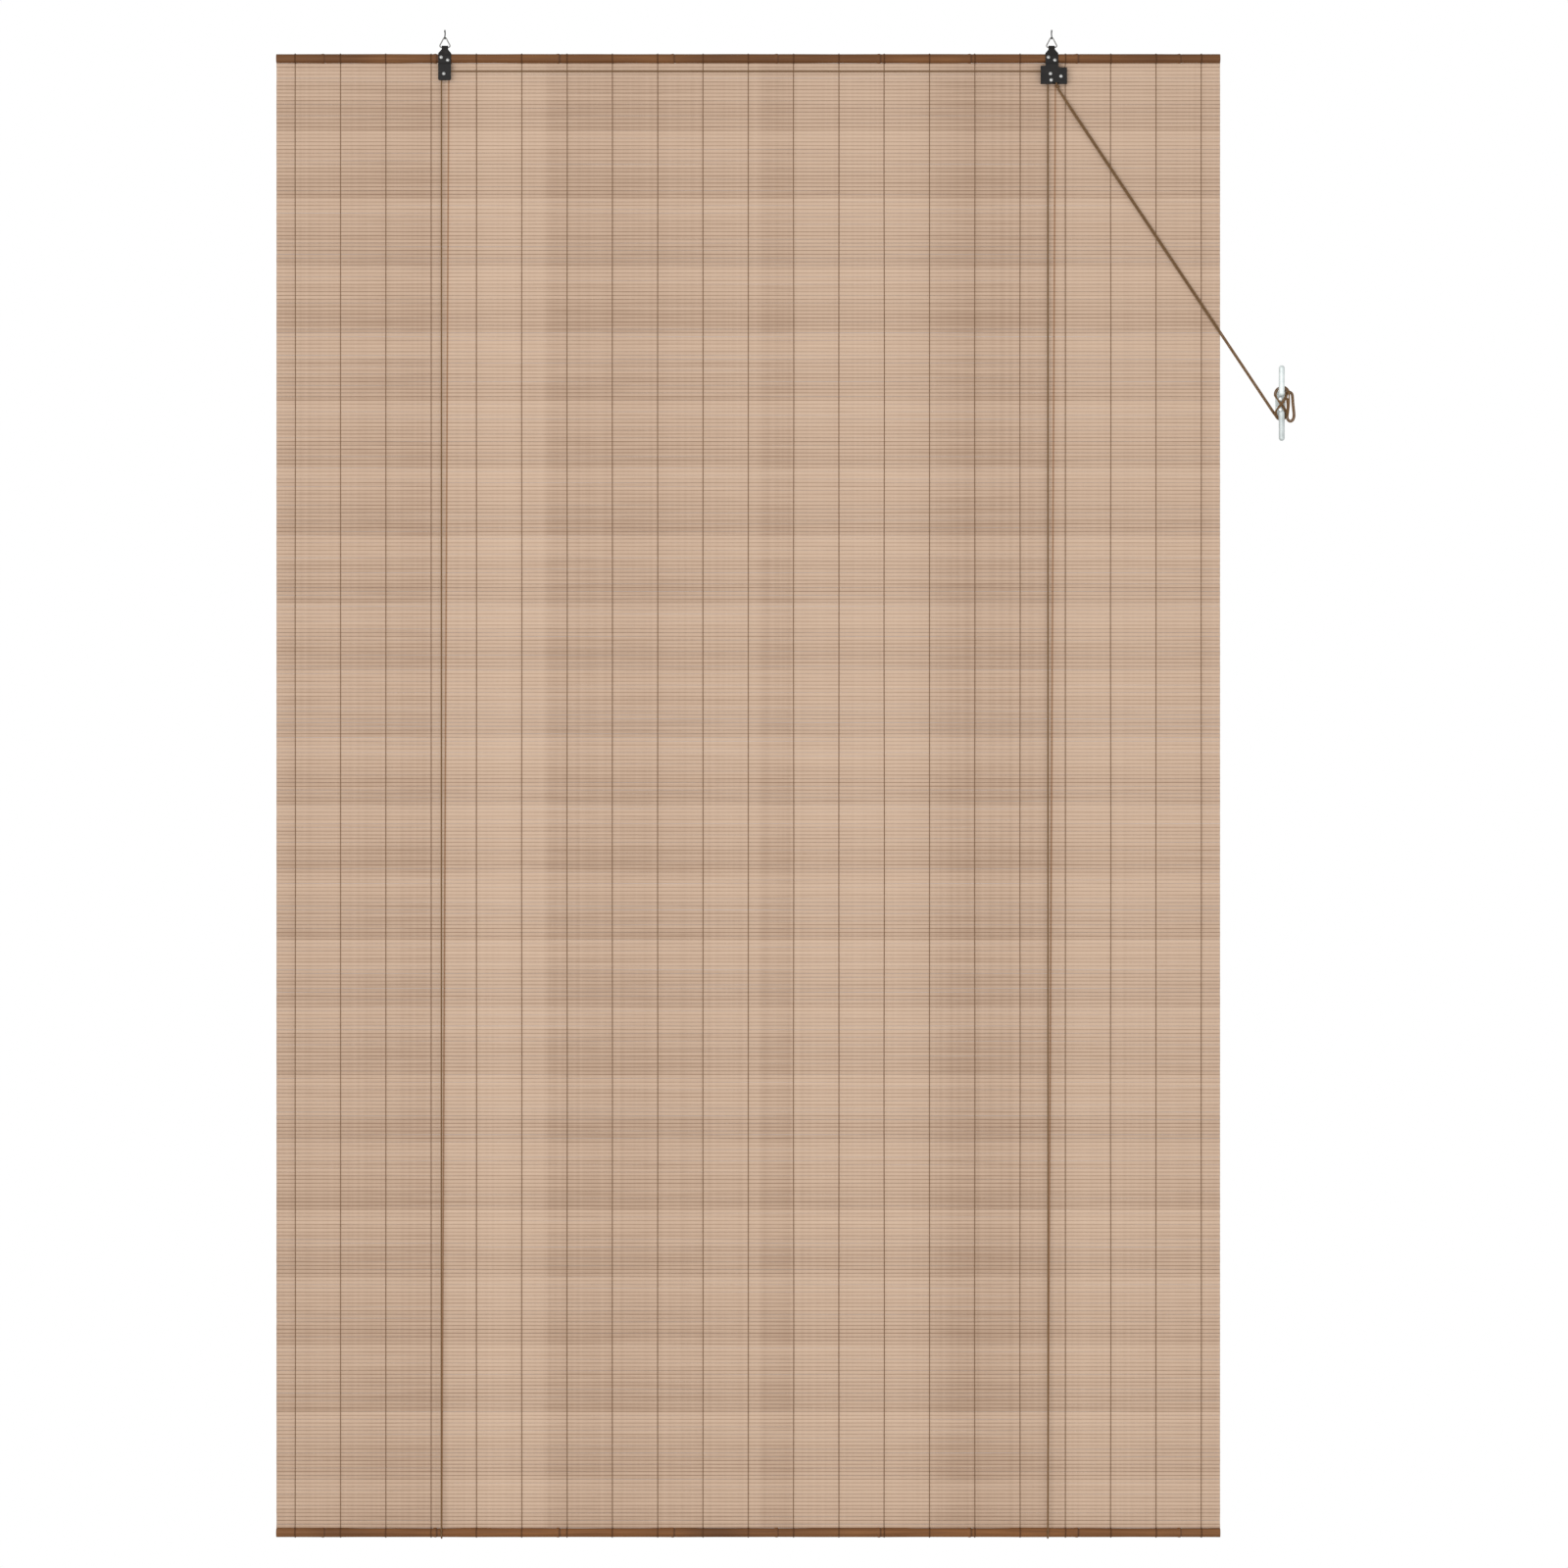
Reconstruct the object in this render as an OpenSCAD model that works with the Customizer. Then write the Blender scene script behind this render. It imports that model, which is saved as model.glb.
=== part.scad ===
// Bamboo roll-up blind with two hanging brackets, a cord lock and a wall cleat.
// Millimetres, +Z up, the front faces -Y.
// The origin lies midway between the seats of the two hanging hooks.

/* [Blind] */
// Width of the slat mat and of both canes
blind_w = 1400; // [800:10:2000]
// Height from the top of the head cane to the underside of the foot cane
blind_h = 2200; // [1000:10:3000]
// Distance between the two hanging hooks
hook_spacing = 900; // [400:10:1400]
// Drop from the hook seats to the top of the head cane
hang_drop = 34.2; // [33:0.1:36]

/* [Canes] */
// Diameter of the head and foot canes
cane_d = 13.6; // [12:0.1:15]
// Diameter of the hollow at the cane ends
cane_hollow_d = 7.4; // [4:0.1:9]
// Depth of the hollow, up to the first growth ring
cane_hollow_len = 55; // [20:1:80]
// Height of the swelling at a growth ring
ring_rise = 0.7; // [0.3:0.1:1.2]
// Rounding of the swelling at a growth ring
ring_round = 2.4; // [1.5:0.1:3]

/* [Slats] */
// Distance from one slat to the next
slat_pitch = 5.556; // [4:0.01:9]
// Thickness of a slat
slat_t = 1.6; // [1.2:0.1:2]
// Width of the groove between two slats
groove_w = 0.8; // [0.6:0.1:1.4]
// Thickness of the web that stands for the weave between two slats
web_t = 0.6; // [0.4:0.1:1]
// Open gap after every so many slats
gap_step = 4; // [4:1:12]
// Height of an open gap
gap_h = 0.5; // [0.3:0.1:0.6]
// Length of a gap that is closed at either end of the mat
gap_end = 6; // [4:1:20]
// Distance of the mat behind the centre plane of the canes
mat_setback = 1; // [0.6:0.1:1.4]

/* [Warp threads] */
// Number of warp threads across the mat
warp_count = 21; // [7:2:31]
// Distance from the outer warp threads to the edge of the mat
warp_edge = 28; // [15:1:60]
// Width of a warp thread
thread_w = 1.3; // [0.8:0.1:1.6]
// Thickness of the thread turns around the canes
wrap_t = 0.8; // [0.4:0.1:1]

/* [Brackets] */
// Thickness of the bracket sheet
sheet_t = 1.2; // [0.8:0.1:1.5]
// Width of the bracket strap
strap_w = 19; // [16:0.5:24]
// Width of the neck that holds the hanging ring
neck_w = 9.4; // [8:0.1:10]
// Height of the ring eye above the top of the head cane
eye_rise = 10; // [9:0.1:12]
// Length of the left bracket below the cane centre
left_len = 33.4; // [31:0.1:38]
// Length of the lock bracket below the cane centre
lock_len = 39; // [38:0.1:42]
// Length of the rear leaf below the cane centre
rear_len = 11; // [10.5:0.1:11.5]
// Step of the front leaf towards the front, below the cane
joggle = 1.6; // [1.4:0.1:2.4]
// Radius of the lower bracket corners
corner_r = 2.5; // [1:0.1:4]
// Reach of the lock bracket to the left of its hook
wing_left = 16.5; // [14:0.1:20]
// Reach of the lock bracket to the right of its hook
wing_right = 22.4; // [21.5:0.1:24]

/* [Pulleys and lock] */
// Radius at which the cord runs on a pulley
pitch_r = 3.6; // [3.4:0.1:3.8]
// Radius of the pulley flanges
flange_r = 5.4; // [5:0.1:5.6]
// Diameter of the pulley axles
axle_d = 2.5; // [1.8:0.1:2.6]
// Diameter of the rivet and screw heads
head_d = 5.2; // [4:0.1:5.6]
// Height of the rivet and screw heads
head_h = 1.2; // [0.8:0.1:1.6]
// Radius of the fixed anvil that the cam presses the cords against
anvil_r = 3.4; // [2.6:0.1:3.5]
// Reach of the toothed cam from its pivot
cam_r = 9; // [8:0.1:9.2]

/* [Hangers] */
// Wire diameter of the hooks and rings
wire_d = 1.8; // [1.4:0.1:1.9]
// Inner radius of the open hook
hook_r = 3.2; // [3:0.1:3.5]
// Width of the triangular ring, corner to corner
ring_w = 18; // [17:0.5:22]
// Bend radius of the ring corners
ring_bend_r = 2.2; // [2:0.1:2.4]

/* [Cords] */
// Diameter of the cord
cord_d = 2.2; // [1.6:0.1:2.3]
// Length of the knot that joins both cords below the lock
knot_len = 5; // [4:0.1:6]

/* [Cleat] */
// Height of the cleat, tip to tip
cleat_h = 112; // [90:1:140]
// Distance from the edge of the mat to the centre of the cleat
cleat_gap = 90; // [60:1:200]
// Drop from the hook seats to the centre of the cleat
cleat_drop = 553; // [400:1:900]
// Diameter of the cleat horns
horn_d = 8.8; // [7:0.1:9.6]
// Diameter of the posts that carry the horns
post_d = 7.2; // [5:0.1:8]
// Distance between the two posts
post_spacing = 31; // [29:0.5:33]
// Distance between the two screw holes
hole_spacing = 16; // [14:0.5:16.5]
// Diameter of the screw holes
hole_d = 4.2; // [3:0.1:4.6]

/* [Hidden] */
$fn = 48;
eps = 0.01;

// Places of the canes and the mat
cane_r = cane_d / 2;
head_z = -hang_drop - cane_r;
foot_z = -hang_drop - blind_h + cane_r;
mat_clear = ring_rise + 0.1;
mat_top = head_z - cane_r - mat_clear;
mat_bottom = foot_z + cane_r + mat_clear;
mat_h = mat_top - mat_bottom;
mat_front = mat_setback - slat_t / 2;
mat_back = mat_setback + slat_t / 2;
slat_count = round(mat_h / slat_pitch);
pitch = mat_h / slat_count;
warp_pitch = (blind_w - 2 * warp_edge) / (warp_count - 1);
warp_x = [for (i = [0 : warp_count - 1]) -blind_w / 2 + warp_edge + i * warp_pitch];
hook_x = hook_spacing / 2;

// Growth rings along the canes, as shares of the half width, kept clear of brackets and threads
ring_shares = [-0.901, -0.663, -0.403, -0.16, 0.06, 0.277, 0.469, 0.696, 0.913];
ring_clear = 2.6;
bracket_clear = strap_w / 2 + ring_clear;
function from_warp(x) = min([for (w = warp_x) abs(x - w)]);
function from_bracket(x) = abs(abs(x) - hook_x);
ring_x = [for (s = ring_shares)
    let (x = s * blind_w / 2)
    if (from_bracket(x) > bracket_clear && from_warp(x) > ring_clear) x];

// Thread turns leave a slot below the cane where the mat begins
wrap_clear = 0.05;
wrap_from = 4;
wrap_sweep = 336;

// Bracket sections, measured from the cane centre
strap_clear = 0.05;
leaf_in = cane_r + strap_clear;
leaf_mid = leaf_in + sheet_t / 2;
leaf_out = leaf_in + sheet_t;
lower_in = leaf_in + joggle;
lower_out = leaf_out + joggle;
joggle_top = -6.6;
joggle_end = -9.6;
knee_z = 3;
eye_z = cane_r + eye_rise;
eye_in = wire_d / 2 + 0.3;
eye_out = eye_in + sheet_t;
eye_bite = 0.1;
eye_mid = eye_in - eye_bite + sheet_t / 2;
eye_bury = (acos(1 - eye_bite / eye_in) + acos(1 - eye_bite / eye_out)) / 2;
eye_dist = norm([leaf_mid, eye_z - knee_z]);
lean = atan2(eye_z - knee_z, leaf_mid) + asin(eye_mid / eye_dist);
lean_n = [-sin(lean), cos(lean)];
knee_at = [-leaf_mid, knee_z];
knee_mitre = ([-1, 0] + lean_n) / (1 - lean_n[0]) * sheet_t / 2;
eye_foot = [0, eye_z] + eye_mid * lean_n;
corner_steps = 4;
shoulder_top = cane_r + 6.5;
shoulder_end = cane_r + 0.7;
strap_inner = [knee_at - knee_mitre, eye_foot - sheet_t / 2 * lean_n];
strap_outer = [eye_foot + sheet_t / 2 * lean_n, knee_at + knee_mitre];
neck_right = [[neck_w / 2, eye_z + eye_out + 1], [neck_w / 2, shoulder_top], [strap_w / 2, shoulder_end]];
neck_left = [for (i = [2, 1, 0]) [-neck_right[i][0], neck_right[i][1]]];
strap_depth = 60;
screw_at = [[-5.2, 1], [4.4, -3.2]];
screw_d = 2.4;
screw_len = 5.5;
fit = 0.05;
tie_at = [5.7, -8.5];
tie_hole_r = cord_d / 2 + 0.4;

// Lock housing, in [x, z] from the hook axis and the cane centre
pulley_z = -23.4;
left_axle = [-1.2, pulley_z];
lock_axle = [-2.2, pulley_z];
anvil_at = [-1.2, -32.8];
cam_at = [13.4, -27.2];
wing_left_top = -11.6;
wing_right_top = -14.2;
recess = [0.7, 10.9];
recess_h = 2.2;
flange_margin = 1;
plate_t = 0.8;
plate_right = 17.5;
plate_front = -1.45;
side_gap = 0.15;

// Cord paths
cord_r = cord_d / 2;
cord_gap = 0.3;
run_clear = 0.2;
groove_r = cord_r + cord_gap;
rim_t = 0.4;
land = 0.3;
groove_step = 2 * groove_r + land;
single_w = 2 * groove_r + 2 * rim_t;
double_w = single_w + groove_step;
left_cord_y = -lower_in + side_gap + single_w / 2;
right_cord_y = left_cord_y + groove_step;
pair_y = (left_cord_y + right_cord_y) / 2;
loop_r = cane_r + cord_r + cord_gap;
left_cord_x = -hook_x + left_axle[0] - pitch_r;
right_cord_x = hook_x + lock_axle[0] - pitch_r;
tie_y = leaf_in - cord_r - 0.15;
knot_at = [7.8, -39.8];
knot_reach = norm(knot_at - lock_axle);
leave_angle = acos(pitch_r / knot_reach) + atan2(knot_at[1] - lock_axle[1], knot_at[0] - lock_axle[0]);
leave_at = lock_axle + pitch_r * [cos(leave_angle), sin(leave_angle)];
knot_dir = [sin(leave_angle), -cos(leave_angle)];
knot_top_half = cord_r + fit;
knot_r = 2 * cord_r + 0.7;

// Hooks and rings
wire_r = wire_d / 2;
hook_mid_r = hook_r + wire_r;
small_eye_r = 2.3;
hook_waist = -hook_r - hook_mid_r;
small_eye_z = hook_waist - small_eye_r;
ring_base_z = head_z + eye_z;
link_gap = 0.3;
ring_apex_z = small_eye_z - small_eye_r + wire_d + link_gap;
ring_top = ring_apex_z - ring_base_z;
ring_half = ring_w / 2;

// Height of the ring's sharp triangle, whose rounded apex then reaches ring_top
function solve_top(lo, hi, n) = n == 0 ? (lo + hi) / 2
    : let (m = (lo + hi) / 2) apex_of(m) < ring_top ? solve_top(m, hi, n - 1) : solve_top(lo, m, n - 1);
function apex_of(h) = h - ring_bend_r / sin(atan2(ring_half, h)) + ring_bend_r;
sharp_h = solve_top(ring_top / 2, ring_top * 2, 30);
base_angle = atan2(sharp_h, ring_half);
apex_half = 90 - base_angle;
corner_x = ring_half - ring_bend_r / tan(base_angle / 2);
apex_c = sharp_h - ring_bend_r / sin(apex_half);
ring_steps = 5;
hook_steps = 15;

// Cleat, measured from the wall plane
wall_y = 10;
cleat_at = [blind_w / 2 + cleat_gap, 0, -cleat_drop];
cleat_base_t = 3;
cleat_base_w = 15;
cleat_base_h = post_spacing + 9;
horn_y = -12.5;
horn_tip_y = -14.5;
horn_r = horn_d / 2;
countersink_r = hole_d;

// Turns of the pull cord on the cleat, from the cleat centre: lower post, upper post, lower post,
// then up the right side into a bight that hangs beside the cleat, with its end behind the upper horn
cleat_turns = [
    [-9.8, -1, -12.7], [-5, -1, -18.6], [-2, -1.1, -20.9], [1.6, -1.2, -21], [4.8, -1.5, -18.9],
    [6, -1.9, -15.2], [5.2, -2.2, -10.4], [1.8, -2.4, -4.6], [-2.2, -2.6, 1.6], [-5.8, -2.8, 7.4],
    [-7.4, -3, 12.6], [-6.6, -3.1, 17.4], [-3.6, -3.3, 21.2], [0.8, -3.4, 22.2], [4.8, -3.7, 20],
    [6.8, -4.1, 15.8], [6, -4.5, 10.6], [2.8, -5, 4.8], [-1.2, -5.3, -1], [-5, -5.2, -6.6],
    [-7.2, -4.9, -12], [-6.8, -4.6, -17], [-4, -4.4, -21], [0, -4.4, -22.4], [4.2, -4.6, -20.6],
    [7, -5, -16.4], [8.6, -5.5, -10], [8.8, -6, -2], [8, -6.5, 6], [7.6, -6.8, 10.6],
    [8.8, -7, 14.2], [11.5, -7.2, 15.6], [14.2, -7.2, 14.2], [15.4, -7.1, 10.6], [16, -6.8, 2],
    [17, -6.4, -8], [17.8, -6.2, -16], [17.5, -6.2, -20.4], [16, -6.2, -23.8], [13.6, -6.2, -25.2],
    [11.2, -6.3, -23.8], [9.9, -6.8, -20.2], [10.6, -7.4, -13], [11.6, -8, -3], [11.6, -9.2, 7],
    [10.6, -9.8, 14.4], [8, -9, 19.4], [4.6, -7.6, 22.4], [1, -6.9, 23.4], [-2.2, -6.7, 23.4]];
cord_sides = 8;
wire_sides = 12;
turn_steps = 6;

// Cylinder between two points
module rod(a, b, r) {
    v = b - a;
    translate(a) rotate([0, acos(v[2] / norm(v)), atan2(v[1], v[0])]) cylinder(h = norm(v), r = r);
}

// Bent wire in the YZ plane
module bend_yz(x, at, bend_r, r, from, sweep) {
    translate([x, at[0], at[1]]) rotate([90, 0, 90]) rotate([0, 0, from])
        rotate_extrude(angle = sweep) translate([bend_r, 0]) circle(r);
}

// Domed head that stands on the plane y = 0 and faces the front
module dome_head(d, h) {
    ball_r = (d * d / 4 + h * h) / (2 * h);
    rotate([90, 0, 0]) rotate_extrude() intersection() {
        translate([0, h - ball_r]) circle(ball_r);
        square([d / 2, h]);
    }
}

// Cylinder along Y between two depths, in [x, z]
module pin_y(at, from_y, to_y, r) {
    translate([at[0], to_y, at[1]]) rotate([90, 0, 0]) cylinder(h = to_y - from_y, r = r);
}

// Bamboo cane with its growth rings and hollow ends
module cane() {
    difference() {
        union() {
            rotate([0, 90, 0]) cylinder(h = blind_w, r = cane_r, center = true);
            for (x = ring_x)
                translate([x, 0, 0]) rotate([0, 90, 0]) rotate_extrude()
                    translate([cane_r + ring_rise - ring_round, 0]) circle(ring_round);
        }
        for (side = [-1, 1])
            translate([side * (blind_w - cane_hollow_len + eps) / 2, 0, 0]) rotate([0, 90, 0])
                cylinder(h = cane_hollow_len + eps, d = cane_hollow_d, center = true);
    }
}

module top_rail() {
    color("saddlebrown") translate([0, 0, head_z]) difference() {
        cane();
        for (side = [-1, 1], at = screw_at)
            pin_y([side * hook_x + at[0], at[1]], -cane_d, -leaf_out + screw_len + fit, screw_d / 2 + fit);
    }
}

module bottom_rail() {
    color("saddlebrown") translate([0, 0, foot_z]) cane();
}

// One side of the mat as [depth, height] points: flat slats with a groove after each
function slat_side(crest, web) = [for (i = [0 : slat_count - 1])
    each concat([[crest, mat_bottom + i * pitch + (i == 0 ? 0 : groove_w / 2)],
                 [crest, mat_bottom + (i + 1) * pitch - (i == slat_count - 1 ? 0 : groove_w / 2)]],
                i == slat_count - 1 ? [] : [[web, mat_bottom + (i + 1) * pitch]])];
function backwards(list) = [for (i = [len(list) - 1 : -1 : 0]) list[i]];

module slat_mat() {
    color("burlywood") difference() {
        rotate([90, 0, 90]) linear_extrude(height = blind_w, center = true)
            polygon(concat(slat_side(mat_front, mat_setback - web_t / 2),
                           backwards(slat_side(mat_back, mat_setback + web_t / 2))));
        for (i = [gap_step : gap_step : slat_count - 1])
            translate([0, mat_setback, mat_bottom + i * pitch])
                cube([blind_w - 2 * gap_end, 2 * slat_t, gap_h], center = true);
    }
}

// Half-round thread that lies on the slats, on the front (side = -1) or the back (side = 1)
module thread_run(x, side) {
    translate([x, side < 0 ? mat_front : mat_back, mat_bottom]) linear_extrude(height = mat_h)
        intersection() {
            circle(d = thread_w);
            translate([-thread_w / 2, side < 0 ? -thread_w / 2 : 0]) square([thread_w, thread_w / 2]);
        }
}

module warp_threads() {
    color("sienna") for (x = warp_x, side = [-1, 1]) thread_run(x, side);
}

// Thread turn around a cane; mat_dir points from the cane to the mat
module thread_turn(x, z, mat_dir) {
    translate([x, 0, z]) mirror([0, 0, mat_dir < 0 ? 0 : 1]) rotate([90, 0, 90])
        rotate([0, 0, -90 - wrap_from - wrap_sweep]) rotate_extrude(angle = wrap_sweep)
            translate([cane_r + wrap_clear, -thread_w / 2]) square([wrap_t, thread_w]);
}

module top_thread_turns() {
    color("sienna") for (x = warp_x)
        if (from_bracket(x) > strap_w / 2 + thread_w) thread_turn(x, head_z, -1);
}

module bottom_thread_turns() {
    color("sienna") for (x = warp_x)
        if (min(abs(x - left_cord_x), abs(x - right_cord_x)) > cord_d + thread_w) thread_turn(x, foot_z, 1);
}

// Sheet that is bent in the YZ plane, as wide along X as the lock bracket needs
module sheet_x() {
    rotate([90, 0, 90]) linear_extrude(height = 4 * strap_w, center = true) children();
}

// Folded strap: front leaf with its step, eye around the ring wire, short rear leaf
module folded_strap(front_len) {
    far = 9;
    difference() {
        union() {
            sheet_x() polygon(concat([[-lower_out, -front_len], [-lower_in, -front_len], [-lower_in, joggle_end],
                                      [-leaf_in, joggle_top]], strap_inner, strap_outer,
                                     [[-leaf_out, joggle_top], [-lower_out, joggle_end]]));
            mirror([0, 1, 0]) sheet_x()
                polygon(concat([[-leaf_out, -rear_len], [-leaf_in, -rear_len]], strap_inner, strap_outer));
            sheet_x() translate([0, eye_z]) difference() {
                circle(eye_out);
                polygon([[0, 0], far * [-sin(lean + eye_bury), cos(lean + eye_bury)], [-far, -far],
                         [far, -far], far * [sin(lean + eye_bury), cos(lean + eye_bury)]]);
            }
        }
        translate([0, 0, eye_z]) rotate([0, 90, 0]) cylinder(h = 5 * strap_w, r = eye_in, center = true);
    }
}

// Points of an arc around c
function arc_points(c, r, from, to, steps) = [for (k = [0 : steps])
    let (a = from + (to - from) * k / steps) c + r * [cos(a), sin(a)]];

// Front outline of neck, shoulders and strap in the XZ plane
module strap_outline(front_len) {
    in_x = strap_w / 2 - corner_r;
    in_z = corner_r - front_len;
    polygon(concat(neck_right, arc_points([in_x, in_z], corner_r, 0, -90, corner_steps),
                   arc_points([-in_x, in_z], corner_r, -90, -180, corner_steps), neck_left));
}

// Holes for the two cane screws and for the tied cord end
module strap_holes() {
    for (at = screw_at) pin_y(at, -strap_depth / 2, 0, screw_d / 2 + fit);
    pin_y(tie_at, 0, strap_depth / 2, tie_hole_r);
}

module left_bracket() {
    color("dimgray") translate([-hook_x, 0, head_z]) difference() {
        intersection() {
            folded_strap(left_len);
            rotate([90, 0, 0]) linear_extrude(height = strap_depth, center = true) strap_outline(left_len);
        }
        strap_holes();
        pin_y(left_axle, -strap_depth / 2, 0, axle_d / 2 + fit);
    }
}

// Outline of the lock bracket: the strap with two wings and a recess where the cords leave
module lock_outline() {
    polygon(concat(neck_right,
        [[strap_w / 2, wing_right_top], [wing_right, wing_right_top], [wing_right, -lock_len],
         [recess[1], -lock_len], [recess[1], recess_h - lock_len], [recess[0], recess_h - lock_len],
         [recess[0], -lock_len], [-wing_left, -lock_len], [-wing_left, wing_left_top],
         [-strap_w / 2, wing_left_top]],
        neck_left));
}

// Side wall that is folded back from the edge of the lock bracket
module lock_wall(x, top) {
    translate([x, -lower_in - eps, -lock_len + flange_margin])
        cube([sheet_t, lower_in + eps + plate_front, lock_len + top - 2 * flange_margin]);
}

module lock_bracket() {
    color("dimgray") translate([hook_x, 0, head_z]) difference() {
        union() {
            intersection() {
                folded_strap(lock_len);
                rotate([90, 0, 0]) linear_extrude(height = strap_depth, center = true) lock_outline();
            }
            lock_wall(-wing_left, wing_left_top);
            lock_wall(wing_right - sheet_t, wing_right_top);
        }
        strap_holes();
        for (at = [lock_axle, anvil_at, cam_at]) pin_y(at, -strap_depth / 2, 0, axle_d / 2 + fit);
        translate([-wing_left - 1, left_cord_y, pulley_z + pitch_r]) rotate([0, 90, 0])
            cylinder(h = sheet_t + 2, r = cord_r + 0.4);
    }
}

module lock_back_plate() {
    color("dimgray") translate([hook_x, plate_front + plate_t, head_z]) rotate([90, 0, 0])
        linear_extrude(height = plate_t) difference() {
            translate([-wing_left, -lock_len + flange_margin])
                square([wing_left + plate_right, lock_len + wing_right_top - 2 * flange_margin]);
            for (at = [lock_axle, anvil_at, cam_at]) translate(at) circle(axle_d / 2 + fit);
        }
}

// The two domed screws that hold a bracket to the head cane
module bracket_screws(x) {
    color("silver") for (at = screw_at) {
        translate([x + at[0], -leaf_out, head_z + at[1]]) dome_head(head_d, head_h);
        pin_y([x + at[0], head_z + at[1]], -leaf_out - eps, -leaf_out + screw_len, screw_d / 2);
    }
}

module left_bracket_screws() {
    bracket_screws(-hook_x);
}

module lock_bracket_screws() {
    bracket_screws(hook_x);
}

// Pulley body around Z with a round-bottomed groove at each given height
module pulley(width, grooves) {
    rotate([90, 0, 0]) rotate_extrude() difference() {
        translate([axle_d / 2 + fit, -width / 2]) square([flange_r - axle_d / 2 - fit, width]);
        for (g = grooves) {
            translate([pitch_r, g]) circle(groove_r);
            translate([pitch_r, g - groove_r]) square([flange_r, 2 * groove_r]);
        }
    }
}

module left_pulley() {
    color("gray") translate([left_axle[0] - hook_x, left_cord_y, head_z + left_axle[1]]) pulley(single_w, [0]);
}

module lock_pulley() {
    color("gray") translate([lock_axle[0] + hook_x, pair_y, head_z + lock_axle[1]])
        pulley(double_w, [-groove_step / 2, groove_step / 2]);
}

module left_pulley_axle() {
    at = [left_axle[0] - hook_x, head_z + left_axle[1]];
    rear = left_cord_y + single_w / 2 + side_gap;
    color("silver") {
        translate([at[0], -lower_out, at[1]]) dome_head(head_d, head_h);
        pin_y(at, -lower_out - eps, rear, axle_d / 2);
        pin_y(at, rear - eps, rear + plate_t, head_d / 2 - 0.2);
    }
}

// Rivet through the front and the back plate of the lock
module lock_rivet(place) {
    at = [place[0] + hook_x, head_z + place[1]];
    color("silver") {
        translate([at[0], -lower_out, at[1]]) dome_head(head_d, head_h);
        pin_y(at, -lower_out - eps, plate_front + plate_t, axle_d / 2);
    }
}

module lock_pulley_axle() {
    lock_rivet(lock_axle);
}

module lock_anvil_rivet() {
    lock_rivet(anvil_at);
}

module lock_cam_axle() {
    lock_rivet(cam_at);
}

module lock_anvil() {
    color("gray") difference() {
        pin_y([anvil_at[0] + hook_x, head_z + anvil_at[1]], -lower_in, plate_front, anvil_r);
        pin_y([anvil_at[0] + hook_x, head_z + anvil_at[1]], -lower_in - 1, plate_front + 1, axle_d / 2 + fit);
    }
}

// Cam that hangs from its pivot; its toothed nose swings up to the cords
module lock_cam() {
    hub_r = 3.4;
    nose = 2.3;
    tooth = 0.9;
    color("gray") translate([cam_at[0] + hook_x, (plate_front - lower_in) / 2, head_z + cam_at[1]])
        rotate([90, 0, 0]) linear_extrude(height = lower_in + plate_front - 2 * side_gap, center = true)
            difference() {
                union() {
                    circle(hub_r);
                    intersection() {
                        circle(cam_r);
                        polygon([[-hub_r, 0], [hub_r, 0], [nose, -cam_r - 1], [-nose, -cam_r - 1]]);
                    }
                }
                circle(axle_d / 2 + fit);
                for (a = [-10 : 5 : 10]) rotate(a) translate([0, -cam_r]) rotate(45) square(tooth, center = true);
            }
}

// Triangular wire ring whose base runs through the bracket eye
module hanging_ring(x) {
    path = concat(arc_points([corner_x, ring_bend_r], ring_bend_r, -90, apex_half, ring_steps),
                  arc_points([0, apex_c], ring_bend_r, apex_half, 180 - apex_half, ring_steps),
                  arc_points([-corner_x, ring_bend_r], ring_bend_r, 180 - apex_half, 270, ring_steps));
    color("silver") translate([x, 0, ring_base_z])
        swept_tube([for (p = path) [p[0], 0, p[1]]], wire_r, wire_sides, [0, 1, 0], true);
}

module left_ring() {
    hanging_ring(-hook_x);
}

module right_ring() {
    hanging_ring(hook_x);
}

// Wire hook: open above for the support, closed below around the ring
module hanging_hook(x) {
    tip = 165;
    eye_end = 375;
    path = concat(arc_points([0, -hook_r], hook_mid_r, tip, -90, hook_steps),
                  [for (k = [1 : hook_steps]) let (a = 90 + (eye_end - 90) * k / hook_steps)
                      [0, small_eye_z] + small_eye_r * [cos(a), sin(a)]]);
    color("silver") swept_tube([for (p = path) [x, p[0], p[1]]], wire_r, wire_sides, [-1, 0, 0], false);
}

module left_hook() {
    hanging_hook(-hook_x);
}

module right_hook() {
    hanging_hook(hook_x);
}

// Front and rear run of a lift cord, from the pulley down to the loop and up to the tie
module lift_cord(x, top_y, tie_x) {
    color("peru") {
        rod([x, top_y, head_z + pulley_z - run_clear], [x, -loop_r, foot_z + fit], cord_r);
        rod([tie_x, tie_y, head_z + tie_at[1] - cord_r], [x, loop_r, foot_z + fit], cord_r);
    }
}

module left_lift_cord() {
    lift_cord(left_cord_x, left_cord_y, tie_at[0] - hook_x);
}

module right_lift_cord() {
    lift_cord(right_cord_x, right_cord_y, tie_at[0] + hook_x);
}

module left_cord_loop() {
    color("peru") bend_yz(left_cord_x, [0, foot_z], loop_r, cord_r, 180, 180);
}

module right_cord_loop() {
    color("peru") bend_yz(right_cord_x, [0, foot_z], loop_r, cord_r, 180, 180);
}

// Points of a cord on a pulley, from one angle to another
function on_pulley(at, y, from, to) = [for (k = [0 : turn_steps])
    let (a = from + (to - from) * k / turn_steps)
    [at[0] + pitch_r * cos(a), y, head_z + at[1] + pitch_r * sin(a)]];
function knot_end(y) = [hook_x + knot_at[0], y, head_z + knot_at[1]];

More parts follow.
